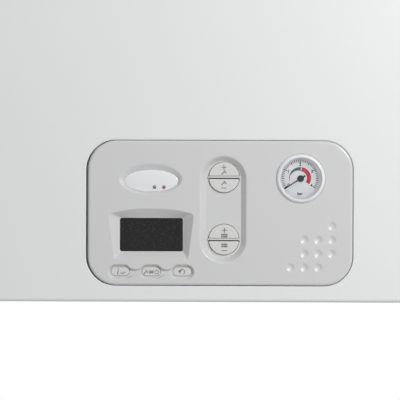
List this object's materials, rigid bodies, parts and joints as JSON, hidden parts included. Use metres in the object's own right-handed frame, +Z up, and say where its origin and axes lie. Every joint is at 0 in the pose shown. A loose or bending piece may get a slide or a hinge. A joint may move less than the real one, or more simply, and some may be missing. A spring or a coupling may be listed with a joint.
{
  "type": "gas boiler",
  "caption": "Wall-hung room-sealed gas boiler: white steel casing with a moulded grey control panel, flue socket on top and pipe connections below, for heating and hot water.",
  "frame": {"origin": "middle of the wall bracket, on the face that lies on the wall", "axes": "+X to the right seen from the front, +Y into the wall, +Z up"},
  "size_m": [0.4, 0.254, 0.762],
  "materials": {
    "casing_paint": "smooth satin white enamel",
    "galvanised": "dull zinc-coated sheet",
    "fascia_plastic": "fine-grained light grey moulding",
    "key_plastic": "matt light grey keys",
    "gloss_white": "glossy white",
    "dark_window": "smoked black window",
    "green_lamp": "clear green",
    "red_lamp": "clear red",
    "dial_face": "printed pale grey dial",
    "needle_black": "matt black",
    "board_green": "green lacquered circuit board",
    "grey_plastic": "mid grey moulding",
    "black_plastic": "black glass-filled moulding",
    "blue_plastic": "blue moulded knob",
    "red_plastic": "red moulded knob",
    "white_plastic": "white moulding",
    "seal_rubber": "black foam and gasket rubber",
    "cast_aluminium": "as cast",
    "stainless": "bright stainless steel",
    "brass": "machined brass",
    "copper": "drawn copper pipe",
    "vessel_red": "red stove enamel",
    "ceramic": "glazed insulator",
    "glass": "clear window"
  },
  "bodies": {
    "casing": {"air_intake_silencer": "grey_plastic", "badge_plate": "gloss_white", "base_tray": "galvanised", "burner_door": "cast_aluminium", "circuit_board": "board_green", "cold_water_stub": "brass", "condensate_trap": "white_plastic", "control_box": "grey_plastic", "control_fascia": "fascia_plastic", "cover_seal": "seal_rubber", "display_window": "dark_window", "diverter_motor": "white_plastic", "expansion_vessel": "vessel_red", "fan_housing": "cast_aluminium", "fan_motor": "black_plastic", "filling_tap": "brass", "flow_manifold": "black_plastic", "flow_pipe": "copper", "flue_adapter": "white_plastic", "flue_duct": "white_plastic", "flue_gasket": "seal_rubber", "gas_air_mixer": "cast_aluminium", "gas_pipe": "stainless", "gas_stub": "brass", "gas_valve": "cast_aluminium", "gauge_bezel": "gloss_white", "gauge_body": "black_plastic", "gauge_dial": "dial_face", "gauge_lens": "glass", "heat_exchanger": "stainless", "heating_flow_stub": "brass", "heating_return_stub": "brass", "hot_water_stub": "brass", "ignition_electrode": "ceramic", "lamp_green": "green_lamp", "lamp_red": "red_lamp", "plate_heat_exchanger": "stainless", "pump_body": "black_plastic", "pump_motor": "cast_aluminium", "rear_frame": "galvanised", "return_manifold": "black_plastic", "return_pipe": "copper", "safety_valve": "brass", "side_panel_left": "casing_paint", "side_panel_right": "casing_paint", "top_plate": "casing_paint", "vessel_pipe": "copper", "wall_bracket": "galvanised"},
    "cover": {"front_cover": "casing_paint"},
    "needle": {"gauge_needle": "needle_black"},
    "impeller": {"fan_impeller": "cast_aluminium"},
    "relief_knob": {"safety_valve_knob": "red_plastic"},
    "fill_knob": {"filling_tap_knob": "blue_plastic"},
    "key_water_plus_cap": {"key_water_plus": "key_plastic"},
    "key_water_minus_cap": {"key_water_minus": "key_plastic"},
    "key_heating_plus_cap": {"key_heating_plus": "key_plastic"},
    "key_heating_minus_cap": {"key_heating_minus": "key_plastic"},
    "key_info_cap": {"key_info": "key_plastic"},
    "key_mode_cap": {"key_mode": "key_plastic"},
    "key_reset_cap": {"key_reset": "key_plastic"}
  },
  "joints": [
    {"name": "cover_swing", "type": "hinge", "parent": "casing", "child": "cover", "pos_m": [0, -0.2056, 0.0444], "axis": [-1, 0, 0], "range_deg": [0, 30]},
    {"name": "key_water_plus_press", "type": "slide", "parent": "casing", "child": "key_water_plus_cap", "axis": [0, 1, 0], "range_m": [0, 0.0012], "stiffness_N_per_m": 200},
    {"name": "key_water_minus_press", "type": "slide", "parent": "casing", "child": "key_water_minus_cap", "axis": [0, 1, 0], "range_m": [0, 0.0012], "stiffness_N_per_m": 200},
    {"name": "key_heating_plus_press", "type": "slide", "parent": "casing", "child": "key_heating_plus_cap", "axis": [0, 1, 0], "range_m": [0, 0.0012], "stiffness_N_per_m": 200},
    {"name": "key_heating_minus_press", "type": "slide", "parent": "casing", "child": "key_heating_minus_cap", "axis": [0, 1, 0], "range_m": [0, 0.0012], "stiffness_N_per_m": 200},
    {"name": "key_info_press", "type": "slide", "parent": "casing", "child": "key_info_cap", "axis": [0, 1, 0], "range_m": [0, 0.0012], "stiffness_N_per_m": 200},
    {"name": "key_mode_press", "type": "slide", "parent": "casing", "child": "key_mode_cap", "axis": [0, 1, 0], "range_m": [0, 0.0012], "stiffness_N_per_m": 200},
    {"name": "key_reset_press", "type": "slide", "parent": "casing", "child": "key_reset_cap", "axis": [0, 1, 0], "range_m": [0, 0.0012], "stiffness_N_per_m": 200},
    {"name": "needle_turn", "type": "hinge", "parent": "casing", "child": "needle", "pos_m": [0.06851, -0.2468, -0.5495], "axis": [0, 1, 0], "range_deg": [0, 245], "stiffness_Nm_per_rad": 0.002, "springref_deg": -11.46},
    {"name": "impeller_spin", "type": "hinge", "parent": "casing", "child": "impeller", "pos_m": [0.122, -0.19, -0.15], "axis": [0, 1, 0], "continuous": true},
    {"name": "relief_turn", "type": "hinge", "parent": "casing", "child": "relief_knob", "pos_m": [0.168, -0.108, -0.608], "axis": [0, 0, 1], "range_deg": [0, 90]},
    {"name": "fill_turn", "type": "hinge", "parent": "casing", "child": "fill_knob", "pos_m": [0.078, -0.126, -0.625], "axis": [0, 0, 1], "range_deg": [0, 90]}
  ]
}
